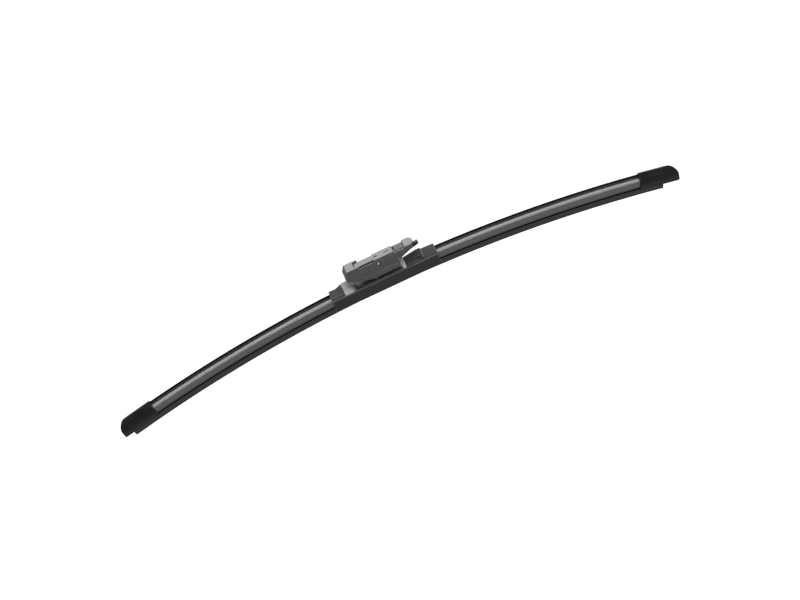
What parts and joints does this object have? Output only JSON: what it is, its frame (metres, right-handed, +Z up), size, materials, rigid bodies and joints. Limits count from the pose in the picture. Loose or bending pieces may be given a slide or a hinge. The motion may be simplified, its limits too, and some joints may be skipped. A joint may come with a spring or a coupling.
{
  "type": "wiper blade",
  "caption": "Bowed flat windscreen wiper blade: rubber squeegee under hollow-faced spoilers, moulded end caps and a centre base that carries a hinged clip-on arm adapter with a sprung button.",
  "frame": {"origin": "on the hinge pin's axis, midway between the adapter's side walls", "axes": "+X along the blade towards the adapter's nose, +Y to the rear of the spoiler, +Z up, away from the glass"},
  "size_m": [0.5003, 0.016, 0.0577],
  "materials": {
    "squeegee_rubber": "matte black rubber",
    "spoiler_rubber": "satin black extruded elastomer",
    "spring_steel": "bright rolled spring strip",
    "cap_plastic": "fine-grained black moulding",
    "cover_plastic": "fine-grained dark grey moulding",
    "carrier_plastic": "plain light grey moulding",
    "pin_steel": "turned steel",
    "adapter_plastic": "satin grey moulding",
    "plate_plastic": "satin light grey moulding",
    "lever_plastic": "satin dark grey moulding"
  },
  "bodies": {
    "adapter": {"adapter_body": "adapter_plastic", "adapter_plate": "plate_plastic", "lever_spring": "spring_steel"},
    "blade": {"wiper_rubber": "squeegee_rubber", "spring_rail_front": "spring_steel", "spring_rail_rear": "spring_steel", "spoiler_left": "spoiler_rubber", "spoiler_right": "spoiler_rubber", "end_cap_left": "cap_plastic", "end_cap_right": "cap_plastic", "base_cover": "cover_plastic", "base_carrier": "carrier_plastic", "hinge_pin": "pin_steel"},
    "lever": {"locking_lever": "lever_plastic"}
  },
  "joints": [
    {"name": "adapter_pivot", "type": "hinge", "parent": "adapter", "child": "blade", "pos_m": [0, 0, 0], "axis": [0, 1, 0], "range_deg": [-7, 7]},
    {"name": "lever_press", "type": "hinge", "parent": "adapter", "child": "lever", "pos_m": [0.0124, 0, 0.0009], "axis": [0, 1, 0], "range_deg": [0, 4.5], "stiffness_Nm_per_rad": 0.2, "springref_deg": -2.86, "deforming": ["lever_spring"]}
  ]
}
